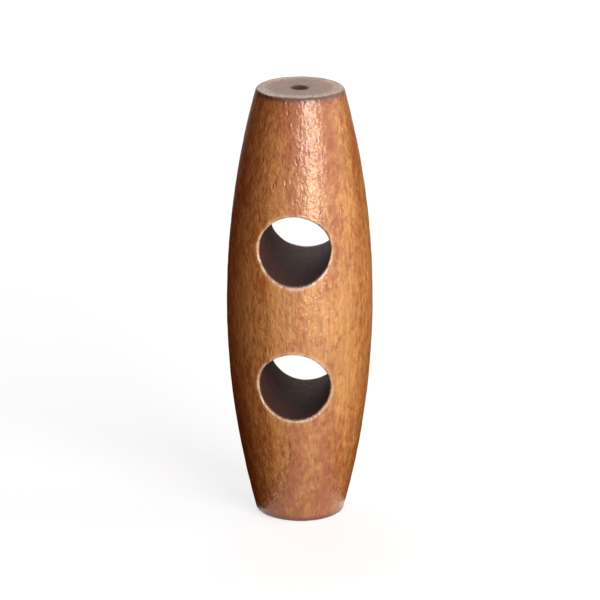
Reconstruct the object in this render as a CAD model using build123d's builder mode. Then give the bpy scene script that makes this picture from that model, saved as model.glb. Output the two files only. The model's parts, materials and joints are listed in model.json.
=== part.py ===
"""Two-hole wooden barrel toggle button, in millimetres.

The button is one turned piece. It stands on its lower end, +Z runs along the grain from end to end, the
origin is the middle of the lower end face, and the two cord holes run right through along Y.
"""

import os

from build123d import *

# Turned body
LENGTH = 30.0
MIDDLE_DIAMETER = 10.0
END_DIAMETER = 6.0
END_EDGE_BREAK = 0.25

# Cord holes, drilled across the body
HOLE_DIAMETER = 4.7
HOLE_SPACING = 9.5
HOLE_RIM_BREAK = 0.15

# Pits that the lathe's centres leave in the sawn ends
CENTRE_PIT_DIAMETER = 1.3
CENTRE_PIT_DEPTH = 0.35

# Worked out from the sizes above
mid_height = LENGTH / 2
middle_radius = MIDDLE_DIAMETER / 2
end_radius = END_DIAMETER / 2
hole_radius = HOLE_DIAMETER / 2
pit_radius = CENTRE_PIT_DIAMETER / 2
hole_plane = Plane(origin=(0, 0, mid_height), x_dir=(1, 0, 0), z_dir=(0, -1, 0))

with BuildPart() as toggle_button:
    # One side of the profile: flat sawn ends, each with its pit, and the bulging side as a single arc
    with BuildSketch(Plane.XZ) as profile:
        with BuildLine():
            lower_pit = Line((0, CENTRE_PIT_DEPTH), (pit_radius, 0))
            lower_end = Line(lower_pit @ 1, (end_radius, 0))
            side = ThreePointArc(lower_end @ 1, (middle_radius, mid_height), (end_radius, LENGTH))
            upper_end = Line(side @ 1, (pit_radius, LENGTH))
            upper_pit = Line(upper_end @ 1, (0, LENGTH - CENTRE_PIT_DEPTH))
            Line(upper_pit @ 1, lower_pit @ 0)
        make_face()
        # The corner between each sawn end and the side is rubbed down
        chamfer(profile.vertices().group_by(Axis.X)[-1], length=END_EDGE_BREAK)
    revolve(axis=Axis.Z)

    # Both cord holes, evenly about the middle
    with Locations(hole_plane):
        with GridLocations(0, HOLE_SPACING, 1, 2):
            Hole(radius=hole_radius)

    # Their four mouths, where the round bores break out through the bulging side, have their edges eased
    bores = toggle_button.faces().filter_by(GeomType.CYLINDER)
    mouth_edges = bores.edges().filter_by(GeomType.BSPLINE)
    chamfer(mouth_edges, length=HOLE_RIM_BREAK)

toggle_button.part.label = "toggle_button"

os.makedirs("parts", exist_ok=True)
export_step(toggle_button.part, "parts/toggle_button.step")

size = toggle_button.part.bounding_box().size
print(f"toggle_button: {size.X:.2f} x {size.Y:.2f} x {size.Z:.2f} mm, {toggle_button.part.volume:.0f} mm3")
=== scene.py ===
"""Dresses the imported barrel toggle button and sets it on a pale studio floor.

The real button is one stick of wood, turned to a barrel, sawn off flat at both ends, drilled twice across,
stained brown and lacquered. Its mesh here is one closed surface, worked out as whole arrays in millimetres
and written in metres, and its finish is a solid pattern that runs through the stick as real grain does.
"""

import json
import logging
import math
from dataclasses import dataclass
from enum import Enum

import bpy
import numpy as np
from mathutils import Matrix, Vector


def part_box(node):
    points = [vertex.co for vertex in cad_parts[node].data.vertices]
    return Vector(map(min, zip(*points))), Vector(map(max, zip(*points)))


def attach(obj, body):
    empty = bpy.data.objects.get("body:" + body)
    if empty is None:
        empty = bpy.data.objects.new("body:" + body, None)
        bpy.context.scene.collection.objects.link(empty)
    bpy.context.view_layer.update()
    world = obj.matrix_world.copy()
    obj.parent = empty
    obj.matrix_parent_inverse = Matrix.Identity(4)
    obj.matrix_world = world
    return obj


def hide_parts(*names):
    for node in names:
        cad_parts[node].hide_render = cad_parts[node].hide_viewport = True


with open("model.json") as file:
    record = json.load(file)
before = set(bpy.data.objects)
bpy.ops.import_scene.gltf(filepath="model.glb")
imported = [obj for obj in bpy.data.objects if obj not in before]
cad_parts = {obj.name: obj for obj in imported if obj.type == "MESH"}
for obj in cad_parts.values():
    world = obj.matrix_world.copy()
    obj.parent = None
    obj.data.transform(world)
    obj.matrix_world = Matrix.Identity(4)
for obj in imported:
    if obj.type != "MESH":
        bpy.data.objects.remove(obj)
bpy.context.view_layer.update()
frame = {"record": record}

log = logging.getLogger("toggle_button")

MM = 0.001  # metres in a millimetre
PIECE = "toggle_wood"
BODY = "root"
NODE = "toggle_button"
SLOT = "stained_wood"
VALUES = ("cut", "bore", "rim", "face", "corner", "edge")  # what the mesh tells the finish at each point

Pair = tuple[float, float]
Triple = tuple[float, float, float]
Colour = tuple[float, float, float]
Ramp = tuple[float, ...]  # low and high, then start and stop where they aren't 0 and 1
Socket = bpy.types.NodeSocket

WHITE = (1.0, 1.0, 1.0)
WAVELENGTHS = (0.7, 1.9)  # the shortest and the longest in a wave field, as shares of the typical one


class Side(Enum):
    """The two sides on which a cord hole breaks out, by the sign of Y there."""

    FRONT = -1
    BACK = 1


class End(Enum):
    """The two sawn ends of the barrel."""

    LOWER = "lower"
    UPPER = "upper"


def smooth_step(low: float, high: float, value: np.ndarray) -> np.ndarray:
    """Eases from 0 below low to 1 above high.

    The share t of the way from low to high, kept between 0 and 1, becomes 3 t^2 - 2 t^3.

    Args:
        low: where the step starts.
        high: where it ends; it may be the smaller of the two.
        value: the values to ease.

    Returns:
        An array from 0 to 1, of the values' shape.
    """
    share = np.clip((value - low) / (high - low), 0.0, 1.0)
    return share * share * (3.0 - 2.0 * share)


def ridge(middle: float, width: float, value: np.ndarray) -> np.ndarray:
    """Rises to 1 at the middle and falls off on both sides of it: exp(-((value - middle) / width)^2)."""
    return np.exp(-(((value - middle) / width) ** 2))


@dataclass(frozen=True)
class WaveField:
    """A smooth random field through space: many cosine waves, with seeded directions, lengths and phases.

    Attributes:
        seed: which field it is.
        across: the typical wavelength across the grain, in millimetres.
        along: the typical wavelength along the grain (Z), in millimetres.
        waves: how many cosine waves are added up.
        height: what relief() keeps the field within, in millimetres.
    """

    seed: int
    across: float
    along: float
    waves: int = 56
    height: float = 1.0

    def at(self, points: np.ndarray) -> np.ndarray:
        """Adds up the waves at each point.

        Each wave is cos(k . p + phase). Its vector k is a random direction times 2 pi over a random
        wavelength near the typical one, and its Z part is shortened by across / along. The sum is divided
        by the root of half the number of waves, so that its spread is 1.

        Args:
            points: an (n, 3) array, in millimetres.

        Returns:
            An array of n values, about 0 with a spread of 1.
        """
        rng = np.random.default_rng(self.seed)
        direction = rng.normal(size=(self.waves, 3))
        direction /= np.linalg.norm(direction, axis=1, keepdims=True)
        wavelength = self.across * rng.uniform(*WAVELENGTHS, size=(self.waves, 1))
        vector = direction * 2.0 * np.pi / wavelength
        vector[:, 2] *= self.across / self.along
        phase = rng.uniform(0.0, 2.0 * np.pi, size=self.waves)
        return np.cos(points @ vector.T + phase).sum(axis=1) / math.sqrt(self.waves / 2)

    def relief(self, points: np.ndarray) -> np.ndarray:
        """Heights at the points, kept within the field's height by a hyperbolic tangent."""
        return self.height * np.tanh(self.at(points))


@dataclass(frozen=True)
class Barrel:
    """The turned outline, in millimetres: one arc from end to end, flat ends and a pit in each.

    Attributes:
        length: from one sawn end to the other.
        middle_radius: half the thickest diameter.
        end_radius: half the diameter that the side and a sawn end would meet at.
        corner_radius: the rounding between the side and a sawn end.
        pit_radius: half the width of the lathe centre's pit.
        pit_depth: how deep the pit is.
        pit_ease: how far out the pit's rim eases into the flat end, as a share of the pit's radius.
    """

    length: float
    middle_radius: float
    end_radius: float = 3.0
    corner_radius: float = 0.3
    pit_radius: float = 0.68
    pit_depth: float = 0.35
    pit_ease: float = 1.15

    @property
    def middle(self) -> float:
        """Height of the thickest place."""
        return self.length / 2

    @property
    def arc_radius(self) -> float:
        """Radius of the side's arc, from its half chord c and its rise s: (c^2 + s^2) / (2 s)."""
        rise = self.middle_radius - self.end_radius
        return (self.middle**2 + rise**2) / (2 * rise)

    def radius(self, height: np.ndarray) -> np.ndarray:
        """Radius of the body: the middle radius less the arc's fall, R - sqrt(R^2 - (z - middle)^2)."""
        arc = self.arc_radius
        return self.middle_radius - (arc - np.sqrt(arc**2 - (height - self.middle) ** 2))

    def slope(self, height: np.ndarray) -> np.ndarray:
        """How fast the radius grows with height: -(z - middle) / sqrt(R^2 - (z - middle)^2)."""
        offset = height - self.middle
        return -offset / np.sqrt(self.arc_radius**2 - offset**2)

    def half_depth(self, x: np.ndarray, height: np.ndarray) -> np.ndarray:
        """Distance of the side from the XZ plane at x: sqrt(radius^2 - x^2)."""
        return np.sqrt(np.maximum(self.radius(height) ** 2 - x**2, 0.0))

    def end_profile(self, top: float, rows: "EndRows") -> np.ndarray:
        """Profile of the lower end, from the middle of its pit out and up the side to the height top.

        The pit is a bowl whose depth eases from full at the axis to nothing at its rim. The corner is
        an arc that touches both the flat end and the side's slope there.

        Args:
            top: height at which the profile stops.
            rows: how many steps each stretch gets.

        Returns:
            An (n, 2) array of radius and height.
        """
        tilt = math.atan(float(self.slope(np.array(0.0))))
        corner = self.corner_radius
        centre = self.end_radius - corner / math.cos(tilt) + corner * math.tan(tilt)
        pit_edge = self.pit_ease * self.pit_radius
        pit = np.linspace(0.0, pit_edge, rows.pit + 1)[:-1]
        flat = np.linspace(pit_edge, centre, rows.flat + 1)[:-1]
        face = np.concatenate([pit, flat])
        bowl = self.pit_depth * (1.0 - smooth_step(0.0, pit_edge, face))
        turn = np.linspace(-np.pi / 2, -tilt, rows.corner + 1)
        rounded = np.stack([centre + corner * np.cos(turn), corner + corner * np.sin(turn)], axis=1)
        rise = np.linspace(rounded[-1, 1], top, rows.side + 1)[1:]
        side = np.stack([self.radius(rise), rise], axis=1)
        return np.concatenate([np.stack([face, bowl], axis=1), rounded, side])


@dataclass(frozen=True)
class EndRows:
    """How many rows of faces each stretch of an end's profile gets."""

    pit: int = 9
    flat: int = 15
    corner: int = 6
    side: int = 33


@dataclass(frozen=True)
class BarrelEnd:
    """One tapered end of the barrel, from the drilled middle to its sawn face.

    Attributes:
        barrel: the turned outline.
        end: which end it is.
        reach: how far the piece reaches from the sawn face, in millimetres.
        columns: faces around half the barrel.
        rows: faces along the profile.
    """

    barrel: Barrel
    end: End
    reach: float
    columns: int
    rows: EndRows = EndRows()

    def grid(self) -> np.ndarray:
        """Carries the end's profile round the axis.

        A point is (r cos a, r sin a, z), with the angle a over a full turn and (r, z) on the profile. The
        upper end is the lower one's profile with its heights taken from the length, in reverse order.

        Returns:
            A (columns, rows, 3) array whose faces point outwards.
        """
        profile = self.barrel.end_profile(self.reach, self.rows)
        if self.end is End.UPPER:
            profile = profile[::-1] * [1.0, -1.0] + [0.0, self.barrel.length]
        angle = np.linspace(-np.pi, np.pi, 2 * self.columns + 1)[:, None]
        radius, height = profile[:, 0], profile[:, 1]
        x = radius * np.cos(angle)
        y = radius * np.sin(angle)
        return np.stack([x, y, np.broadcast_to(height, x.shape)], axis=-1)


@dataclass(frozen=True)
class HoleRows:
    """How many rows of faces each stretch round a cord hole's mouth gets.

    A crowding tells how strongly a stretch's rows draw together towards the rim, where 1 is evenly.
    """

    face: int = 28
    rim: int = 7
    bore: int = 14
    face_crowding: float = 1.5
    bore_crowding: float = 1.25


@dataclass(frozen=True)
class HoleMouth:
    """One mouth of a cord hole: the quarter of the barrel's middle round it, its rim and half its bore.

    Attributes:
        barrel: the turned outline.
        side: on which side of the barrel it is.
        height: height of the hole's axis.
        radius: radius of the bore.
        half_span: half the height of the quarter, which ends midway between the two holes.
        rim_radius: mean rounding of the rim.
        rim_wear: how much that rounding varies round the mouth.
        columns: faces along the quarter's upper or lower edge.
        flanks: faces along its left or right edge.
        rows: faces from the edge to the middle of the bore.
    """

    barrel: Barrel
    side: Side
    height: float
    radius: float
    half_span: float
    columns: int
    flanks: int
    rim_radius: float = 0.17
    rim_wear: float = 0.35
    rows: HoleRows = HoleRows()

    def edge(self) -> tuple[np.ndarray, np.ndarray]:
        """Walks once round the quarter's edge, against the clock as seen from outside.

        Returns:
            The angle from the mouth's middle, -90 to 90 degrees in radians, and the height above the axis.
        """
        across = np.linspace(-1.0, 1.0, self.columns + 1)[:-1]
        up = np.linspace(-1.0, 1.0, self.flanks + 1)[:-1]
        turn = np.concatenate([across, np.ones(self.flanks), -across, -np.ones(self.flanks)])
        rise = np.concatenate([-np.ones(self.columns), up, np.ones(self.columns), -up])
        turn = np.append(turn, turn[0]) * np.pi / 2
        rise = np.append(rise, rise[0]) * self.half_span
        return turn, rise

    def rim(self, bearing: np.ndarray) -> np.ndarray:
        """Works out the rounded rim, from the side in to the wall of the bore.

        In the plane through the hole's axis at an angle f round it, the rim is a small arc that touches the
        bore's wall and the side, whose slope there is m = (R R' sin f - x cos f) / Y. The arc's centre
        stands off the wall by the rounding, which two waves of 2 and 5 to the turn wear unevenly, from a
        phase that differs from mouth to mouth.

        Args:
            bearing: the angle f of each column.

        Returns:
            A (columns, rows, 3) array of x, distance from the XZ plane and height.
        """
        cos_f, sin_f = np.cos(bearing), np.sin(bearing)
        phase = 0.37 * self.height + self.side.value
        wear = 0.6 * np.sin(2 * bearing + phase) + 0.4 * np.sin(5 * bearing - 2.1 * phase)
        rounding = self.rim_radius * (1.0 + self.rim_wear * wear)
        reach = self.radius + rounding
        x, z = reach * cos_f, self.height + reach * sin_f
        slope = self.barrel.radius(z) * self.barrel.slope(z) * sin_f - x * cos_f
        slope = slope / self.barrel.half_depth(x, z)
        wall = self.barrel.half_depth(self.radius * cos_f, self.height + self.radius * sin_f)
        centre = wall + rounding * (slope - np.sqrt(1.0 + slope**2))

        start = np.arctan2(1.0, -slope)[:, None]
        sweep = start + (np.pi - start) * np.linspace(0.0, 1.0, self.rows.rim + 1)[None, :]
        reach = self.radius + rounding[:, None] * (1.0 + np.cos(sweep))
        depth = centre[:, None] + rounding[:, None] * np.sin(sweep)
        x, z = reach * cos_f[:, None], self.height + reach * sin_f[:, None]
        depth[:, 0] = self.barrel.half_depth(x[:, 0], z[:, 0])
        return np.stack([x, depth, z], axis=-1)

    def bore(self, rim: np.ndarray) -> np.ndarray:
        """Carries the rim's inner edge straight in to the XZ plane, which is the middle of the bore.

        Args:
            rim: what rim() gives.

        Returns:
            An array like the rim's.
        """
        share = np.linspace(0.0, 1.0, self.rows.bore + 1)[None, 1:]
        depth = rim[:, -1:, 1] * (1.0 - share) ** self.rows.bore_crowding
        x, z = (np.broadcast_to(rim[:, -1:, axis], depth.shape) for axis in (0, 2))
        return np.stack([x, depth, z], axis=-1)

    def face(self, turn: np.ndarray, rise: np.ndarray, rim: np.ndarray) -> np.ndarray:
        """Blends angle and height straight from the quarter's edge to the rim, on the turned outline.

        Args:
            turn: the edge's angles round the barrel's axis.
            rise: its heights above the hole's axis.
            rim: what rim() gives.

        Returns:
            An array like the rim's.
        """
        turn, rise = turn[:, None], rise[:, None]
        rim_turn = np.arcsin(rim[:, :1, 0] / self.barrel.radius(rim[:, :1, 2]))
        rim_rise = rim[:, :1, 2] - self.height
        share = np.linspace(0.0, 1.0, self.rows.face + 1)[None, :-1]
        share = 1.0 - (1.0 - share) ** self.rows.face_crowding
        turn = turn + (rim_turn - turn) * share
        z = self.height + (rise + (rim_rise - rise) * share)
        radius = self.barrel.radius(z)
        return np.stack([radius * np.sin(turn), radius * np.cos(turn), z], axis=-1)

    def grid(self) -> np.ndarray:
        """Joins the quarter's side, rim and bore into one grid, from its edge in to the middle of the bore.

        Returns:
            A (columns, rows, 3) array whose faces point outwards.
        """
        turn, rise = self.edge()
        rim = self.rim(np.arctan2(rise, turn * self.barrel.middle_radius))
        sign = self.side.value
        return np.concatenate([self.face(turn, rise, rim), rim, self.bore(rim)], axis=1) * [-sign, sign, 1]


@dataclass
class Surface:
    """A closed surface made of grids whose shared edges are welded.

    Attributes:
        points: an (n, 3) array, in millimetres.
        quads: four point numbers a face.
        triangles: three point numbers a face, at the poles.
    """

    points: np.ndarray
    quads: np.ndarray
    triangles: np.ndarray

    @classmethod
    def welded(cls, grids: list[np.ndarray], tolerance: float = 1e-5) -> "Surface":
        """Joins grids where their points meet.

        Points that round to the same multiple of the tolerance become one. A face whose first or last two
        corners fall together there, as at a pole, becomes a triangle.

        Args:
            grids: (columns, rows, 3) arrays whose faces point outwards.
            tolerance: how near two points must be to be welded, in millimetres.

        Returns:
            The joined surface.
        """
        points = np.concatenate([grid.reshape(-1, 3) for grid in grids])
        keys = np.round(points / tolerance).astype(np.int64)
        _, first, place = np.unique(keys, axis=0, return_index=True, return_inverse=True)
        place = place.reshape(-1)
        faces, start = [], 0
        for grid in grids:
            number = np.arange(grid.shape[0] * grid.shape[1]).reshape(grid.shape[:2]) + start
            corners = number[:-1, :-1], number[1:, :-1], number[1:, 1:], number[:-1, 1:]
            faces.append(np.stack(corners, axis=-1).reshape(-1, 4))
            start += number.size
        quads = place[np.concatenate(faces)]
        low_pole = quads[:, 0] == quads[:, 1]
        high_pole = quads[:, 2] == quads[:, 3]
        triangles = np.concatenate([quads[low_pole][:, [0, 2, 3]], quads[high_pole][:, [0, 1, 2]]])
        return cls(points[first], quads[~(low_pole | high_pole)], triangles)

    def normals(self) -> np.ndarray:
        """Works out the unit normal at each point.

        It is the sum of the normals of the faces round the point, each the cross of the face's diagonals.

        Returns:
            An (n, 3) array.
        """
        a, b, c, d = (self.points[self.quads[:, k]] for k in range(4))
        quad_normals = np.repeat(np.cross(c - a, d - b), 4, axis=0)
        e, f, g = (self.points[self.triangles[:, k]] for k in range(3))
        triangle_normals = np.repeat(np.cross(f - e, g - e), 3, axis=0)
        corners = np.concatenate([self.quads.reshape(-1), self.triangles.reshape(-1)])
        weights = np.concatenate([quad_normals, triangle_normals])
        count = len(self.points)
        total = np.stack([np.bincount(corners, weights[:, k], count) for k in range(3)], axis=1)
        return total / np.linalg.norm(total, axis=1, keepdims=True)

    def mesh(self, name: str) -> bpy.types.Mesh:
        """Writes the surface to a smooth-shaded Blender mesh.

        Args:
            name: the mesh's name.

        Returns:
            The mesh, in metres.
        """
        mesh = bpy.data.meshes.new(name)
        mesh.from_pydata(self.points * MM, [], self.quads.tolist() + self.triangles.tolist())
        mesh.polygons.foreach_set("use_smooth", np.ones(len(mesh.polygons), dtype=bool))
        mesh.update()
        return mesh


@dataclass(frozen=True)
class Noise:
    """A solid noise pattern.

    Attributes:
        scale: how many waves it has in a millimetre, along each axis.
        detail: how many finer octaves it holds.
        rough: how strong each octave is beside the one before.
        move: how far it is moved, so that patterns don't share their middle.
    """

    scale: Triple
    detail: float = 2.0
    rough: float = 0.5
    move: Triple = (0.0, 0.0, 0.0)


# Patterns of the wood and its finish that sway as the fibres do
FIBRE_PATTERNS = {
    "fibre": Noise((5.2, 5.2, 0.30), 3.0, 0.55),  # single fibres
    "streak": Noise((1.05, 1.05, 0.07)),  # broad streaks along the grain
}

# Those that lie straight in the stick
STICK_PATTERNS = {
    "mottle": Noise((2.7, 2.7, 1.55), 3.0, 0.60),  # small blotches of stain
    "cloud": Noise((0.62, 0.62, 0.34), move=(3.0, 7.0, 2.0)),  # larger and softer ones
    "blotch": Noise((0.30, 0.30, 0.16)),  # where cut fibres drink more or less
    "figure": Noise((1.15, 1.15, 0.80), 2.5, 0.55, (5.0, 3.0, 1.0)),  # its middle value runs in a fine net
    "fray": Noise((2.6, 2.6, 2.6)),  # how unevenly the wood is rubbed
    "peel": Noise((4.6, 4.6, 3.6), 1.5),  # the lacquer's fine orange peel
    "saw": Noise((0.9, 9.0, 1.0)),  # the saw's marks on the ends
}


@dataclass(frozen=True)
class Graph:
    """Adds shader nodes to a node tree and joins them."""

    tree: bpy.types.NodeTree

    @classmethod
    def of(cls, owner: bpy.types.Material | bpy.types.World) -> "Graph":
        """Empties the node tree of a material or a world and returns the graph that fills it."""
        owner.use_nodes = True
        owner.node_tree.nodes.clear()
        return cls(owner.node_tree)

    def add(self, kind: str, *values: object, **settings: object) -> bpy.types.Node:
        """Adds a node, sets its options and feeds its first sockets.

        Args:
            kind: the node's type, without its leading ShaderNode.
            values: what goes into its sockets, in their order.
            settings: the node's own options, by name.

        Returns:
            The new node.
        """
        node = self.tree.nodes.new("ShaderNode" + kind)
        for name, value in settings.items():
            setattr(node, name, value)
        for socket, value in zip(node.inputs, values):
            self.feed(socket, value)
        return node

    def feed(self, socket: Socket, value: object) -> None:
        """Joins a socket to another one, or sets it to a plain number, vector or colour."""
        if isinstance(value, Socket):
            self.tree.links.new(value, socket)
        elif isinstance(value, tuple) and socket.type == "RGBA":
            socket.default_value = (*value, 1.0)
        else:
            socket.default_value = value

    def fill(self, node: bpy.types.Node, values: dict[str, object]) -> None:
        """Feeds a node's sockets by name."""
        for name, value in values.items():
            self.feed(node.inputs[name], value)

    def show(self, shader: Socket, output: str = "OutputMaterial") -> None:
        """Joins a shader to the tree's output."""
        self.feed(self.add(output).inputs["Surface"], shader)

    def math(self, operation: str, first: object, second: object = 0.0) -> Socket:
        """Puts one or two numbers through a Math node and returns its result."""
        return self.add("Math", first, second, operation=operation).outputs[0]

    def total(self, start: object, at: dict[str, Socket], weights: dict[str, float]) -> Socket:
        """Adds named values to a first one, each times the weight of its name."""
        for name, weight in weights.items():
            start = self.math("ADD", start, self.math("MULTIPLY", at[name], weight))
        return start

    def ease(self, value: Socket, low: float, high: float, start: float = 0.0, stop: float = 1.0) -> Socket:
        """Maps a value smoothly from the range low to high onto the range start to stop."""
        numbers = (low, high, start, stop)
        return self.add("MapRange", value, *numbers, interpolation_type="SMOOTHSTEP").outputs[0]

    def mix(self, share: object, first: object, second: object, blend: str = "MIX") -> Socket:
        """Mixes two colours by a share of 0 to 1 and returns the colour."""
        node = self.add("Mix", share, data_type="RGBA", blend_type=blend, clamp_factor=True)
        low, high, mixed = node.inputs[6], node.inputs[7], node.outputs[2]  # those for colours
        self.feed(low, first)
        self.feed(high, second)
        return mixed

    def place(self, vector: Socket, scale: Triple, move: Triple = (0.0, 0.0, 0.0)) -> Socket:
        """Stretches and moves coordinates with a Mapping node."""
        node = self.add("Mapping", vector, move, vector_type="POINT")
        self.feed(node.inputs["Scale"], scale)
        return node.outputs[0]

    def noise(self, vector: Socket, pattern: Noise) -> bpy.types.Node:
        """Adds a noise texture that is stretched and moved as the pattern says."""
        node = self.add("TexNoise", self.place(vector, pattern.scale, pattern.move))
        self.fill(node, {"Scale": 1.0, "Detail": pattern.detail, "Roughness": pattern.rough})
        return node

    def seen(self) -> Socket:
        """Is 1 to the camera, in a mirror and through glass, and 0 where only light is gathered."""
        path = self.add("LightPath")
        seen = self.math("MAXIMUM", path.outputs["Is Camera Ray"], path.outputs["Is Glossy Ray"])
        return self.math("MAXIMUM", seen, path.outputs["Is Transmission Ray"])


@dataclass(frozen=True)
class StainedWood:
    """Fine-pored wood under brown stain and satin lacquer.

    Lengths in the patterns are in millimetres. A ramp is the range of a value over which something sets in,
    and then the range of its share, where that isn't 0 to 1.

    Attributes:
        golden: where the stain is thinnest, on the middle's long grain.
        tan: the mean colour of the long grain.
        russet: where cut fibres drink more stain.
        umber: the darkest stain, in pores and end grain.
        bore_stain_and_shade: the wall of a bore, which no lacquer evens out: dark stain, deepened by
            painted shade.
        wear_and_highlight: pale wood where it is rubbed, and a painted highlight on the rims and the rings
            of the sawn ends.
        sheen: the tint of the wood's own shine.
        coat: how much lacquer lies on the long grain.
        end_coat: how much lies on the sawn ends.
        coat_roughness: how satin the lacquer is.
        wander: the pattern that sways the fibres.
        sway: how far it sways them along each axis.
        pith: how far the growth rings are moved, so that their pith lies outside the stick.
        pore_cells: how many cells that may hold a pore a millimetre has, along each axis.
        closed_cells: the share of those cells that hold none.
        golden_ramp: golden wood, by the long grain's lightness.
        net_ramp: the golden net, by the distance from the figure's middle value.
        fibre_ramp: brightness, by the fibre pattern.
        russet_ramp: russet stain, by the thirst of the fibres.
        umber_ramp: umber stain, by their thirst.
        pore_ramp: a pore, by the distance from its heart.
        pore_stain: share of umber in a pore.
        corner_darkening: share of umber that darkens the corner round a sawn end.
        rim_ramp: the pale rim, partly wear and partly painted highlight, by the fray pattern.
        edge_ramp: the pale ring on a sawn end, partly wear and partly painted highlight, by the fray
            pattern.
        bore_ramp: the dark inside of a bore, stain and painted shade, by its depth.
        roughness_ramp: roughness, by the fibre pattern.
    """

    golden: Colour = (0.700, 0.305, 0.085)
    tan: Colour = (0.460, 0.122, 0.024)
    russet: Colour = (0.335, 0.076, 0.014)
    umber: Colour = (0.070, 0.018, 0.007)
    bore_stain_and_shade: Colour = (0.060, 0.018, 0.013)
    wear_and_highlight: Colour = (0.840, 0.580, 0.360)
    sheen: Colour = (1.000, 0.920, 0.840)
    coat: float = 0.95
    end_coat: float = 0.60
    coat_roughness: float = 0.22
    wander: Noise = Noise((0.16, 0.16, 0.05), 1.0)
    sway: Triple = (1.6, 1.6, 0.0)
    pith: Triple = (17.0, 11.0, 0.0)
    pore_cells: Triple = (3.2, 3.2, 0.75)
    closed_cells: float = 0.45
    golden_ramp: Ramp = (0.86, 1.42)
    net_ramp: Ramp = (0.09, 0.0, 0.0, 0.45)
    fibre_ramp: Ramp = (0.30, 0.70, 0.80, 1.10)
    russet_ramp: Ramp = (0.03, 0.36, 0.0, 0.80)
    umber_ramp: Ramp = (0.55, 1.30, 0.0, 0.85)
    pore_ramp: Ramp = (0.28, 0.08)
    pore_stain: float = 0.32
    corner_darkening: float = 0.85
    rim_ramp: Ramp = (0.30, 0.62, 0.25, 0.95)
    edge_ramp: Ramp = (0.30, 0.70, 0.22, 0.62)
    bore_ramp: Ramp = (0.02, 0.50)
    roughness_ramp: Ramp = (0.30, 0.70, 0.56, 0.44)

    def material(self) -> bpy.types.Material:
        """Builds the finish from solid patterns on Object coordinates and the mesh's own values."""
        material = bpy.data.materials.new(SLOT)
        graph = Graph.of(material)
        at = self.readings(graph)
        rough = graph.ease(at["fibre"], *self.roughness_ramp)
        coat = graph.total(self.coat, at, {"face": self.end_coat - self.coat, "inside": -self.coat})
        bump = self.bump(graph, at)
        values = {
            "Base Color": self.colour(graph, at),
            "Roughness": graph.total(rough, at, {"bare": 0.30}),
            "IOR": 1.45,
            "Specular IOR Level": 0.60,
            "Specular Tint": self.sheen,
            "Coat Weight": graph.math("MAXIMUM", coat, 0.0),
            "Coat Roughness": self.coat_roughness,
            "Coat IOR": 1.5,
            "Normal": bump,
            "Coat Normal": bump,
        }
        shader = graph.add("BsdfPrincipled")
        graph.fill(shader, values)
        graph.show(shader.outputs[0])
        return material

    def readings(self, graph: Graph) -> dict[str, Socket]:
        """Lays out what the finish reads at each point.

        Args:
            graph: the material's.

        Returns:
            The mesh's own values, what follows from them, and the solid patterns, by name.
        """
        here = graph.place(graph.add("TexCoord").outputs["Object"], (1 / MM,) * 3)
        wander = graph.noise(here, self.wander).outputs["Color"]
        swayed = graph.add("VectorMath", wander, self.sway, here, operation="MULTIPLY_ADD").outputs[0]
        at = {name: graph.add("Attribute", attribute_name=name).outputs["Fac"] for name in VALUES}
        at["inside"] = graph.ease(at["bore"], *self.bore_ramp)
        at["rings"] = self.rings(graph, swayed)
        at["pores"] = self.pores(graph, swayed)
        for vector, patterns in ((swayed, FIBRE_PATTERNS), (here, STICK_PATTERNS)):
            for name, pattern in patterns.items():
                at[name] = graph.noise(vector, pattern).outputs[0]
        at["bare"] = graph.math("MAXIMUM", at["inside"], at["face"])
        at["sawn"] = graph.math("MULTIPLY", at["saw"], at["face"])
        return at

    def colour(self, graph: Graph, at: dict[str, Socket]) -> Socket:
        """Colours the wood: its long grain, the stain that it drinks, and what wear and drilling bare.

        Args:
            graph: the material's.
            at: what readings() laid out.

        Returns:
            The colour.
        """
        # The long grain: golden early wood, tan late wood, fine fibres and cloudy stain
        weights = {"rings": 0.20, "streak": 0.50, "mottle": 1.25, "cloud": 0.55, "cut": -0.70}
        light = graph.total(0.0, at, weights)
        colour = graph.mix(graph.ease(light, *self.golden_ramp), self.tan, self.golden)
        net = graph.math("ABSOLUTE", graph.math("SUBTRACT", at["figure"], 0.5))
        colour = graph.mix(graph.ease(net, *self.net_ramp), colour, self.golden)
        fine = graph.ease(at["fibre"], *self.fibre_ramp)
        colour = graph.mix(1.0, colour, graph.add("CombineColor", fine, fine, fine).outputs[0], "MULTIPLY")

        # The tapers and the ends cut across the fibres, which drink more stain
        weights = {"blotch": 0.30, "mottle": -0.35, "rings": -0.07}
        centred = {name: graph.math("SUBTRACT", at[name], 0.5) for name in weights}
        thirst = graph.total(at["cut"], centred, weights)
        colour = graph.mix(graph.ease(thirst, *self.russet_ramp), colour, self.russet)
        colour = graph.mix(graph.ease(thirst, *self.umber_ramp), colour, self.umber)

        # Pores hold dark stain, and the corner round each sawn end is darkened too
        for name, share in (("pores", self.pore_stain), ("corner", self.corner_darkening)):
            colour = graph.mix(graph.math("MULTIPLY", at[name], share), colour, self.umber)

        # The rims and a ring on each sawn end are pale, partly wear and partly a painted highlight,
        # and the bores are dark
        for name, ramp in (("rim", self.rim_ramp), ("edge", self.edge_ramp)):
            wear_and_highlight = graph.math("MULTIPLY", at[name], graph.ease(at["fray"], *ramp))
            colour = graph.mix(wear_and_highlight, colour, self.wear_and_highlight)
        # The bores and pits: dark stain, with painted shade that deepens with depth
        return graph.mix(at["inside"], colour, self.bore_stain_and_shade)

    def bump(self, graph: Graph, at: dict[str, Socket]) -> Socket:
        """Lets the lacquer sink into the pores and over the fibres, and lie in a fine orange peel.

        Args:
            graph: the material's.
            at: what readings() laid out.

        Returns:
            The bumped normal. Each pattern's weight is its height in millimetres.
        """
        relief = graph.total(0.0, at, {"fibre": 0.012, "pores": -0.020, "peel": 0.060, "sawn": 0.035})
        bump = graph.add("Bump")
        graph.fill(bump, {"Strength": 1.0, "Distance": MM, "Height": relief})
        return bump.outputs[0]

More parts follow.
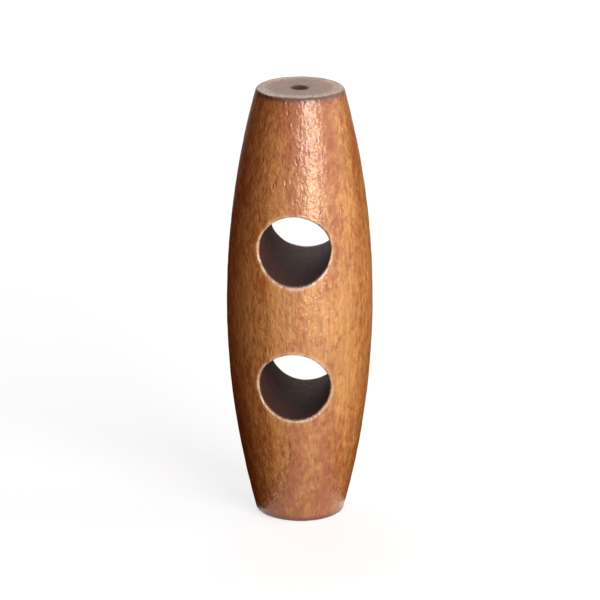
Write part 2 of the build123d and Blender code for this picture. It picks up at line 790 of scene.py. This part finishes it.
    def rings(self, graph: Graph, vector: Socket) -> Socket:
        """Bands a few millimetres wide round a pith that lies outside the stick."""
        place = graph.place(vector, (1.0, 1.0, 0.04), self.pith)
        node = graph.add("TexWave", place, wave_type="RINGS", rings_direction="Z", wave_profile="SIN")
        graph.fill(node, {"Scale": 0.13, "Distortion": 1.6, "Detail": 2.0, "Detail Scale": 0.6})
        return node.outputs["Fac"]

    def pores(self, graph: Graph, vector: Socket) -> Socket:
        """Dark dashes along the grain: the hearts of some of the cells of a pattern that is long in Z."""
        place = graph.place(vector, self.pore_cells)
        cells = graph.add("TexVoronoi", place, feature="F1", distance="EUCLIDEAN")
        graph.feed(cells.inputs["Scale"], 1.0)
        chance = graph.add("SeparateColor", cells.outputs["Color"]).outputs[0]
        heart = graph.ease(cells.outputs["Distance"], *self.pore_ramp)
        return graph.math("MULTIPLY", heart, graph.math("GREATER_THAN", chance, self.closed_cells))


@dataclass(frozen=True)
class Zones:
    """Where the parts of the surface lie, in millimetres.

    A ridge is given by its middle and its width, and a fade by where it starts and ends.

    Attributes:
        mouth: fade from inside a hole to outside it, beyond the bore's radius.
        rim: ridge of a rim, beyond the bore's radius.
        rim_depth: fade from the rim to the bore, by depth.
        face: fade from a sawn end to the side, by height from the end.
        face_radius: fade from a sawn end to its corner, by distance from the axis.
        corner: ridge of the corner, by height.
        corner_radius: fade that leads to the corner, by distance.
        edge: ridge of the pale ring on a sawn end, partly wear and partly painted highlight, by distance.
        edge_height: fade from that ring to the side, by height.
        pit_edge: where a pit ends, as a share of its radius.
        pit_shade: how many times darker a pit is than a bore of its depth.
        end_cut: stain that the middle of a sawn end drinks, where plain end grain drinks 1.
        end_cut_fall: how much less it drinks a millimetre further out.
    """

    mouth: Pair = (0.05, 0.30)
    rim: Pair = (0.11, 0.14)
    rim_depth: Pair = (0.14, 0.34)
    face: Pair = (0.4, 0.7)
    face_radius: Pair = (2.6, 2.9)
    corner: Pair = (0.16, 0.20)
    corner_radius: Pair = (2.72, 2.86)
    edge: Pair = (2.50, 0.30)
    edge_height: Pair = (0.08, 0.24)
    pit_edge: float = 1.1
    pit_shade: float = 3.0
    end_cut: float = 1.30
    end_cut_fall: float = 0.22


@dataclass(frozen=True)
class Marks:
    """What wear, tools and lacquer leave on the plain form, in millimetres.

    Attributes:
        wobble: the form's slow wobble.
        fibres: raised fibres and the grooves of sanding.
        dimples: the lacquer's hammered look.
        turned: height and pitch of the rings that turning leaves on the side.
        sawn: height and pitch of the rings on the sawn ends.
        drilled: height and pitch of the drill's rings in the bores.
        bore: depth over which those set in.
        sunk: how far it is all sunk, so that nothing rises above the plain form.
        drift: what makes the rings uneven; its height is how far it shifts them, in radians.
    """

    wobble: WaveField = WaveField(3, 9.0, 16.0, height=0.022)
    fibres: WaveField = WaveField(11, 0.85, 7.0, height=0.0050)
    dimples: WaveField = WaveField(17, 0.95, 1.25, height=0.0070)
    turned: Pair = (0.0012, 0.95)
    sawn: Pair = (0.0060, 0.42)
    drilled: Pair = (0.0060, 0.55)
    bore: Pair = (0.3, 0.9)
    sunk: float = 0.045
    drift: WaveField = WaveField(5, 7.0, 7.0, 12, 0.6)

    def relief(self, points: np.ndarray, values: dict[str, np.ndarray]) -> np.ndarray:
        """How far the real surface lies off the plain form, in millimetres, always inwards.

        A tool's ring is its height times sin(2 pi s / pitch + drift), where s is the height on the side,
        the distance from the axis on a sawn end, with half the drift, and the way along a bore.

        Args:
            points: an (n, 3) array, in millimetres.
            values: what ToggleButton.values() gave there.

        Returns:
            The offset along the normal at each point, never above 0.
        """
        x, y, z = points.T
        face = values["face"]
        slow = self.wobble.relief(points) + self.fibres.relief(points)
        dimples = self.dimples.relief(points) * (1.0 - face)
        drift = self.drift.height * self.drift.at(points)
        turned = self.ring(self.turned, z, drift) * (1.0 - face)
        sawn = self.ring(self.sawn, np.hypot(x, y), 0.5 * drift) * face
        drilled = self.ring(self.drilled, y, drift) * smooth_step(*self.bore, values["bore"])
        return slow + dimples + turned + sawn + drilled - self.sunk

    def ring(self, mark: Pair, way: np.ndarray, drift: np.ndarray) -> np.ndarray:
        """A tool's ring of the mark's height and pitch along a way."""
        height, pitch = mark
        return height * np.sin(2 * np.pi * way / pitch + drift)


@dataclass
class ToggleButton:
    """The whole button: a turned barrel with two drilled cord holes, stained and lacquered.

    Attributes:
        barrel: its turned outline.
        hole_heights: heights of the cord holes' axes.
        hole_radius: radius of both bores.
        finish: its stain and lacquer.
        zones: where the parts of its surface lie.
        marks: what wear and tools leave on it.
        columns: faces around half the barrel.
        flanks: faces along the flank of one hole's quarter.
    """

    barrel: Barrel
    hole_heights: tuple[float, ...]
    hole_radius: float
    finish: StainedWood = StainedWood()
    zones: Zones = Zones()
    marks: Marks = Marks()
    columns: int = 104
    flanks: int = 64

    @classmethod
    def from_frame(cls) -> "ToggleButton":
        """Reads the barrel's and the holes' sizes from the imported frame."""
        low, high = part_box(NODE)
        length = (high[2] - low[2]) / MM
        middle_radius = max(high[0] - low[0], high[1] - low[1]) / MM / 2
        bores = [mount for mount in frame["record"]["mounts"] if mount["kind"] == "bore"]
        heights = tuple(sorted(round(mount["pos_m"][2] / MM, 4) for mount in bores))
        radius = bores[0]["dims"]["r_mm"]
        return cls(Barrel(round(length, 2), round(middle_radius, 2)), heights, radius)

    def surface(self) -> Surface:
        """Welds the two ends and the four mouths into one closed surface."""
        half_span = (self.hole_heights[1] - self.hole_heights[0]) / 2
        reach = self.hole_heights[0] - half_span
        grids = [BarrelEnd(self.barrel, end, reach, self.columns).grid() for end in End]
        for side in Side:
            for height in self.hole_heights:
                mouth = HoleMouth(
                    self.barrel, side, height, self.hole_radius, half_span, self.columns, self.flanks
                )
                grids.append(mouth.grid())
        return Surface.welded(grids)

    def build(self) -> None:
        """Makes the button's object, at the origin, dresses it and hangs it on the frame."""
        surface = self.surface()
        normals = surface.normals()
        values = self.values(surface.points, normals)
        surface.points = surface.points + normals * self.marks.relief(surface.points, values)[:, None]
        mesh = surface.mesh(PIECE)
        for name, value in values.items():
            layer = mesh.attributes.new(name, "FLOAT", "POINT")
            layer.data.foreach_set("value", value.astype(np.float32))
        mesh.materials.append(self.finish.material())
        piece = into_scene(mesh)
        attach(piece, BODY)
        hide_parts(NODE)
        log.info("%s: %d quads, %d triangles", piece.name, len(surface.quads), len(surface.triangles))

    def values(self, points: np.ndarray, normals: np.ndarray) -> dict[str, np.ndarray]:
        """Works out what the finish needs to know at each point.

        cut is how squarely the surface cuts the fibres: the size of the normal's Z part, and more round a
        pit, where stain gathers. bore is the depth inside a hole or a pit. rim, face, corner and edge are
        1 on a mouth's rounding, a sawn end, its corner and its pale ring, which is partly wear and partly a
        painted highlight.

        Args:
            points: an (n, 3) array, in millimetres.
            normals: the unit normals there.

        Returns:
            Six arrays of n values, by the names in VALUES.
        """
        x, y, z = points.T
        zones, pit_radius = self.zones, self.barrel.pit_radius
        reach = np.min([np.hypot(x, z - height) for height in self.hole_heights], axis=0)
        beyond = reach - self.hole_radius
        radius = np.hypot(x, y)
        from_end = np.minimum(z, self.barrel.length - z)

        depth = (self.barrel.half_depth(x, z) - np.abs(y)) * (1.0 - smooth_step(*zones.mouth, beyond))
        rim = ridge(*zones.rim, beyond) * (1.0 - smooth_step(*zones.rim_depth, depth))
        in_pit = 1.0 - smooth_step(pit_radius, zones.pit_edge * pit_radius, radius)
        in_pit = in_pit * (from_end < 2 * self.barrel.pit_depth)
        bore = np.maximum(depth, zones.pit_shade * from_end * in_pit).clip(min=0.0)

        face = (1.0 - smooth_step(*zones.face, from_end)) * (1.0 - smooth_step(*zones.face_radius, radius))
        corner = ridge(*zones.corner, from_end) * smooth_step(*zones.corner_radius, radius)
        edge = ridge(*zones.edge, radius) * (1.0 - smooth_step(*zones.edge_height, from_end))
        end_cut = face * (zones.end_cut - zones.end_cut_fall * radius)
        cut = np.maximum(np.abs(normals[:, 2]), end_cut)
        return dict(zip(VALUES, (cut, bore, rim, face, corner, edge)))


def direction(azimuth: float, elevation: float) -> Vector:
    """Unit vector from the button: azimuth degrees to the right of the front (-Y), elevation degrees up."""
    turn, rise = math.radians(azimuth), math.radians(elevation)
    return Vector((math.sin(turn) * math.cos(rise), -math.cos(turn) * math.cos(rise), math.sin(rise)))


def into_scene(data: bpy.types.Mesh | bpy.types.Light | bpy.types.Camera) -> bpy.types.Object:
    """Makes an object of a mesh, a lamp or a camera, with the same name, and puts it into the scene."""
    holder = bpy.data.objects.new(data.name, data)
    bpy.context.scene.collection.objects.link(holder)
    return holder


def aimed(data: bpy.types.Light | bpy.types.Camera, target: Vector, offset: Vector) -> bpy.types.Object:
    """Puts a lamp or a camera into the scene, at an offset from the target, and turns it to face that."""
    holder = into_scene(data)
    holder.location = target + offset
    holder.rotation_euler = (target - holder.location).to_track_quat("-Z", "Y").to_euler()
    return holder


def flat_sheet(name: str, corners: list[Vector], material: bpy.types.Material) -> bpy.types.Object:
    """Puts a flat sheet with four corners into the scene.

    Args:
        name: the sheet's name.
        corners: in metres, against the clock as seen from its face.
        material: its material.

    Returns:
        The sheet's object.
    """
    mesh = bpy.data.meshes.new(name)
    mesh.from_pydata(corners, [], [(0, 1, 2, 3)])
    mesh.materials.append(material)
    return into_scene(mesh)


@dataclass(frozen=True)
class Softbox:
    """A rectangular studio lamp that faces the button.

    Attributes:
        name: the lamp's name.
        azimuth: degrees round from the front, to the right when positive.
        elevation: degrees above the floor.
        distance: from the button's middle, in metres.
        width: in metres.
        height: in metres.
        power: in watts.
        colour: of its light.
        lights: whether it lights the wood and the floor.
        mirrored: whether lacquer shows it.
    """

    name: str
    azimuth: float
    elevation: float
    distance: float
    width: float
    height: float
    power: float
    colour: Colour = WHITE
    lights: bool = True
    mirrored: bool = True

    def place(self, target: Vector) -> None:
        """Makes the lamp.

        Args:
            target: the point that it faces.
        """
        lamp = bpy.data.lights.new(self.name, "AREA")
        lamp.shape = "RECTANGLE"
        lamp.size = self.width
        lamp.size_y = self.height
        lamp.energy = self.power
        lamp.color = self.colour
        holder = aimed(lamp, target, direction(self.azimuth, self.elevation) * self.distance)
        holder.visible_diffuse = self.lights
        holder.visible_glossy = self.mirrored


@dataclass(frozen=True)
class BrownCard:
    """A brown card beside the button, which only light and reflections meet.

    It warms and darkens the button's edge, and the camera doesn't see it. It fades out towards both its
    ends, so that its reflection in the lacquer has soft edges.

    Attributes:
        name: the card's name.
        azimuth: degrees round from the front, to the right when positive.
        foot: how far from the button's axis its lower edge lies, in metres.
        lean: how far it leans outwards for its height.
        width: along the floor, in metres.
        height: in metres.
        colour: of its face.
        solid: the share of its width that doesn't fade.
    """

    name: str
    azimuth: float
    foot: float
    lean: float
    width: float
    height: float = 0.045
    colour: Colour = (0.060, 0.022, 0.010)
    solid: float = 0.10

    def material(self, along: Vector) -> bpy.types.Material:
        """Paints the card solid at its middle and clear at both its ends.

        Args:
            along: the unit vector of its width.

        Returns:
            The material.
        """
        material = bpy.data.materials.new(self.name)
        graph = Graph.of(material)
        here = graph.add("TexCoord").outputs["Object"]
        offset = graph.add("VectorMath", here, tuple(along), operation="DOT_PRODUCT").outputs["Value"]
        half = self.width / 2
        faded = graph.ease(graph.math("ABSOLUTE", offset), self.solid * half, half)
        solid = graph.add("BsdfDiffuse", self.colour).outputs[0]
        clear = graph.add("BsdfTransparent").outputs[0]
        graph.show(graph.add("MixShader", faded, solid, clear).outputs[0])
        return material

    def place(self) -> None:
        """Makes the card, which leans away from the button."""
        outward = direction(self.azimuth, 0.0)
        along = outward.cross(Vector((0.0, 0.0, 1.0)))
        half, top = self.width / 2, self.height
        corners = []
        for offset, z in ((-half, 0.0), (half, 0.0), (half, top), (-half, top)):
            corners.append(outward * (self.foot + self.lean * z) + along * offset + Vector((0.0, 0.0, z)))
        card = flat_sheet(self.name, corners, self.material(along))
        card.visible_camera = False
        card.visible_shadow = False


@dataclass
class Studio:
    """The pale floor, the lamps, the white surroundings and the camera.

    Attributes:
        target: the point that the lamps and the camera face.
        azimuth: the camera's, in degrees to the right of the front.
        elevation: the camera's, in degrees above the floor.
        distance: the camera's, in metres.
        lens: in millimetres, on a 36 mm sensor.
        nearest: how near the camera sees, in metres.
        half_floor: half the floor's side, in metres.
        paper: the floor's own colour.
        lift_ramp: how white the floor shines by itself, by its distance from the button in metres.
        ambient: how much light the surroundings give, where the white that they show is 1.
        lamps: the softboxes.
        cards: the brown cards.
    """

    target: Vector
    azimuth: float = 5.0
    elevation: float = 17.5
    distance: float = 0.30
    lens: float = 265.0
    nearest: float = 0.005
    half_floor: float = 1.5
    paper: Colour = (0.50, 0.50, 0.50)
    lift_ramp: Ramp = (0.03, 0.40, 0.72, 1.00)
    ambient: float = 0.10
    lamps: tuple[Softbox, ...] = (
        Softbox("key", 40.0, 16.0, 0.30, 0.20, 0.18, 0.90, mirrored=False),
        Softbox("strip", 28.5, 16.0, 0.30, 0.12, 0.18, 0.66, lights=False),
        Softbox("side", 95.0, 20.0, 0.30, 0.14, 0.20, 0.16),
        Softbox("back", 200.0, 45.0, 0.40, 0.40, 0.30, 0.60),
        Softbox("fill", -60.0, 20.0, 0.40, 0.20, 0.20, 0.13, (1.00, 0.50, 0.28)),
    )
    cards: tuple[BrownCard, ...] = (
        BrownCard("left_card", -90.0, 0.00315, 0.24, 0.064),
        BrownCard("right_card", 125.0, 0.0036, 0.40, 0.040, 0.030, (0.22, 0.13, 0.09)),
    )

    def floor(self) -> None:
        """Lays the floor, which the camera sees near white but which keeps the button's shadow."""
        material = bpy.data.materials.new("pale_floor")
        graph = Graph.of(material)
        here = graph.add("TexCoord").outputs["Object"]
        away = graph.add("VectorMath", here, operation="LENGTH").outputs["Value"]
        lift = graph.math("MULTIPLY", graph.seen(), graph.ease(away, *self.lift_ramp))
        paper = graph.add("BsdfDiffuse", self.paper).outputs[0]
        glow = graph.add("Emission", WHITE, lift).outputs[0]
        graph.show(graph.add("AddShader", paper, glow).outputs[0])
        corners = [Vector((x, y, 0.0)) * self.half_floor for x, y in ((-1, -1), (1, -1), (1, 1), (-1, 1))]
        floor = flat_sheet("floor", corners, material)

    def surroundings(self) -> None:
        """Makes the world plain white to the camera and a soft grey light to everything else."""
        world = bpy.data.worlds.new("studio")
        graph = Graph.of(world)
        strength = graph.ease(graph.seen(), 0.0, 1.0, self.ambient, 1.0)
        graph.show(graph.add("Background", WHITE, strength).outputs[0], "OutputWorld")
        bpy.context.scene.world = world

    def camera(self) -> None:
        """Sets the camera up near the holes' axis and a little above it, as the photograph looks."""
        lens = bpy.data.cameras.new("camera")
        lens.lens = self.lens
        lens.clip_start = self.nearest
        holder = aimed(lens, self.target, direction(self.azimuth, self.elevation) * self.distance)
        bpy.context.scene.camera = holder

    def build(self) -> None:
        """Builds the stage, the light and the camera."""
        self.camera()
        self.floor()
        for card in self.cards:
            card.place()
            log.info("card %s", card.name)
        self.surroundings()
        for lamp in self.lamps:
            lamp.place(self.target)
            log.info("lamp %s: %.2f W", lamp.name, lamp.power)


def main() -> None:
    """Builds the button and its studio."""
    logging.basicConfig(level=logging.INFO, format="%(name)s: %(message)s")
    button = ToggleButton.from_frame()
    button.build()
    Studio(Vector((0.0, 0.0, button.barrel.middle * MM))).build()
    bpy.context.scene.view_settings.view_transform = "Standard"


if __name__ == "__main__":
    main()
